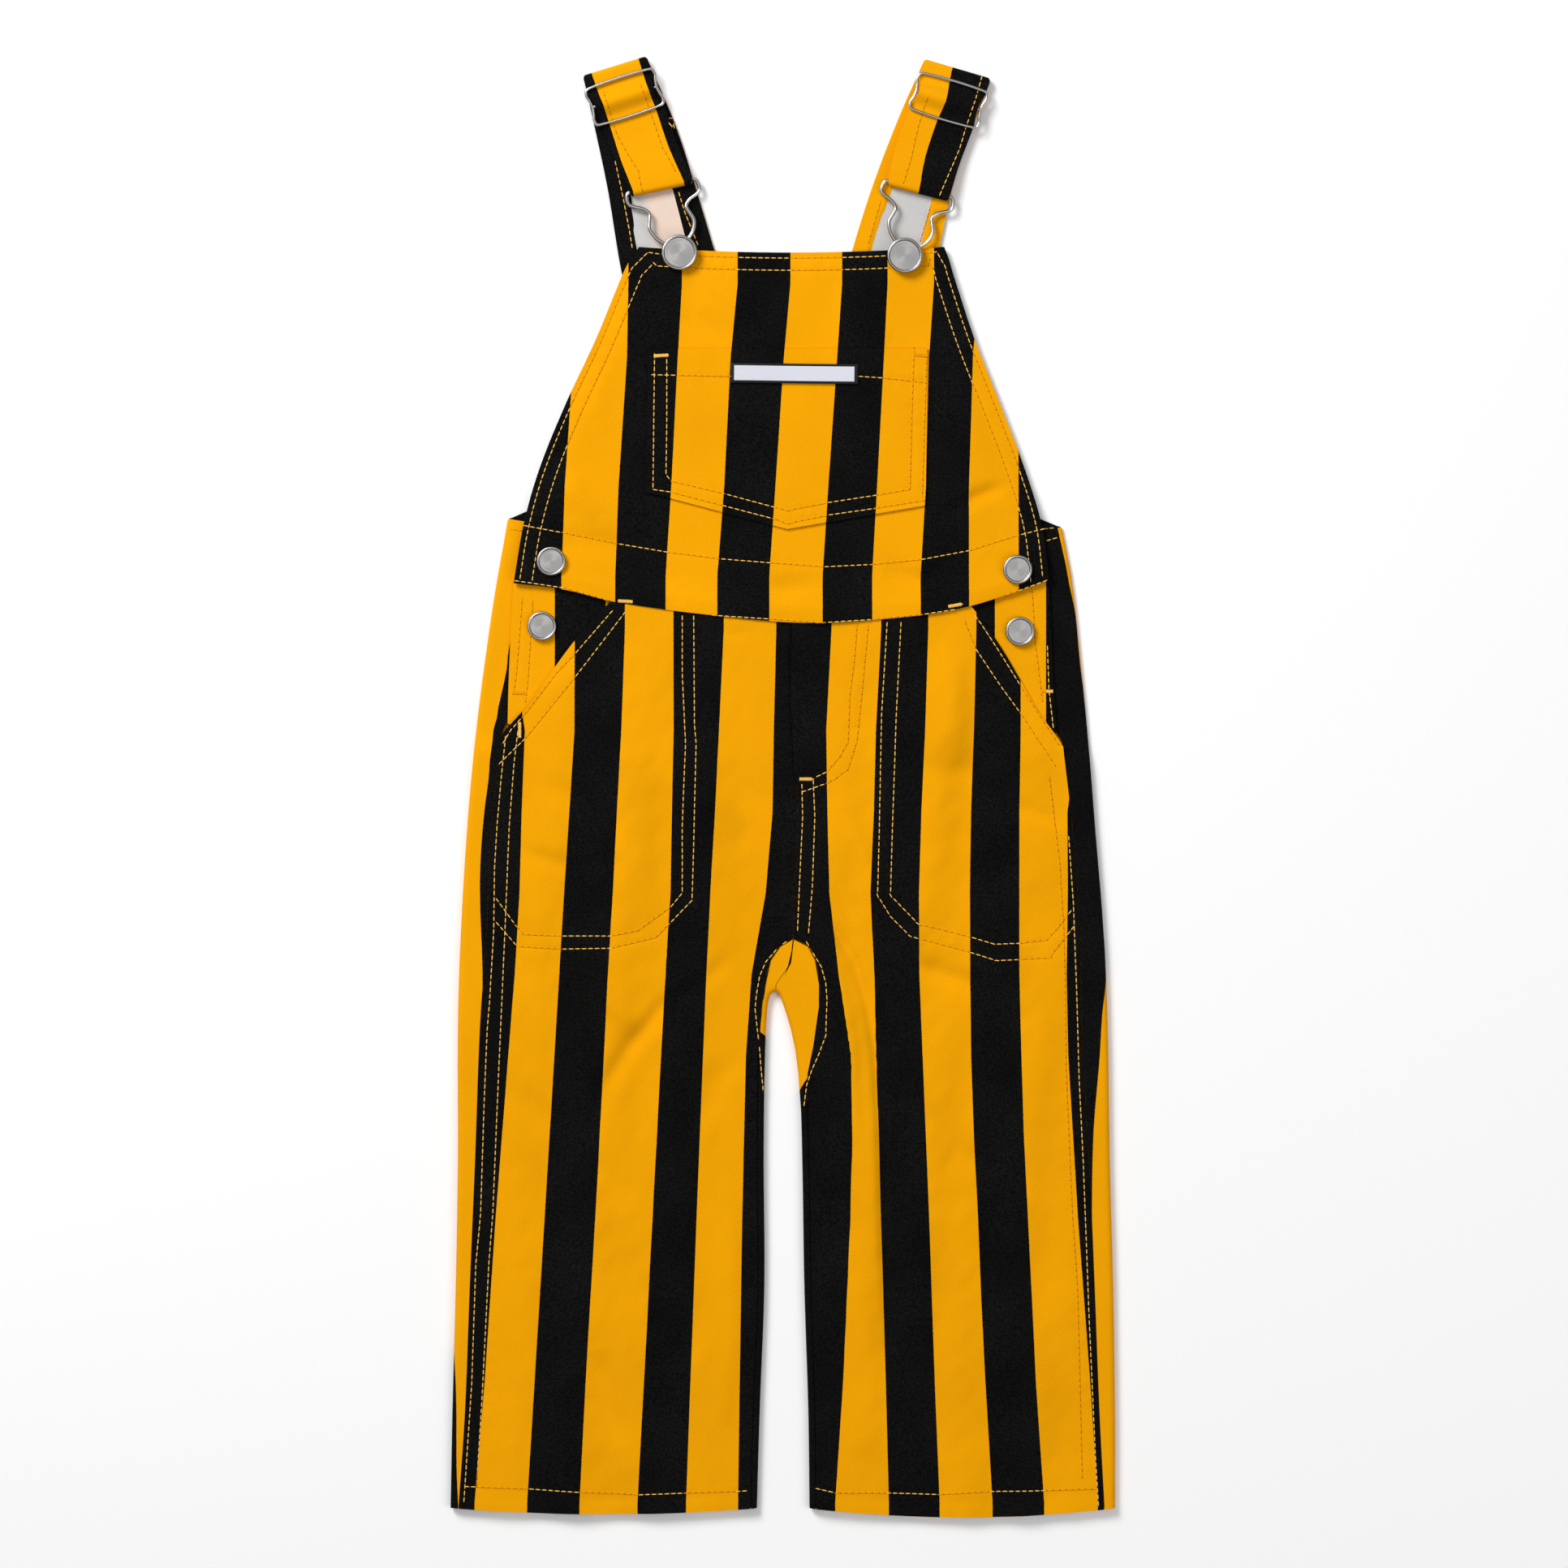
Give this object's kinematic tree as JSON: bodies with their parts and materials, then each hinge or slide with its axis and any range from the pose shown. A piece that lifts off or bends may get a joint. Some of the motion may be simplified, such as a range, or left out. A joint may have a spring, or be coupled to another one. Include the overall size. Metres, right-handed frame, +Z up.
{
  "type": "kids bib overalls",
  "caption": "Child's bib overalls in yellow and black striped twill, laid flat with the front up, with a bib pocket, side button openings and straps on wire loops and slides.",
  "frame": {"origin": "centre of the footprint on the surface that the overalls lie on", "axes": "+Z up out of the surface, +Y from the hems to the straps, +X to the right as seen from above"},
  "size_m": [0.3188, 0.7014, 0.0095],
  "materials": {
    "striped_twill": "cotton twill printed in yellow and black stripes, white on the wrong side",
    "label_cloth": "plain woven label with a black border",
    "sewing_thread": "gold topstitching thread",
    "nickel_wire": "bright nickel-plated bent wire",
    "button_metal": "brushed nickel tack buttons"
  },
  "bodies": {
    "root": {"back_leg_left": "striped_twill", "back_leg_right": "striped_twill", "front_leg_left": "striped_twill", "front_leg_right": "striped_twill", "hip_facing_left": "striped_twill", "hip_facing_right": "striped_twill", "back_bib": "striped_twill", "front_bib": "striped_twill", "bib_pocket": "striped_twill", "pocket_label": "label_cloth", "strap_left": "striped_twill", "strap_right": "striped_twill", "slide_left": "nickel_wire", "slide_right": "nickel_wire", "wire_loop_left": "nickel_wire", "wire_loop_right": "nickel_wire", "bib_button_left": "button_metal", "bib_button_right": "button_metal", "side_button_left_upper": "button_metal", "side_button_left_lower": "button_metal", "side_button_right_upper": "button_metal", "side_button_right_lower": "button_metal"}
  },
  "joints": []
}
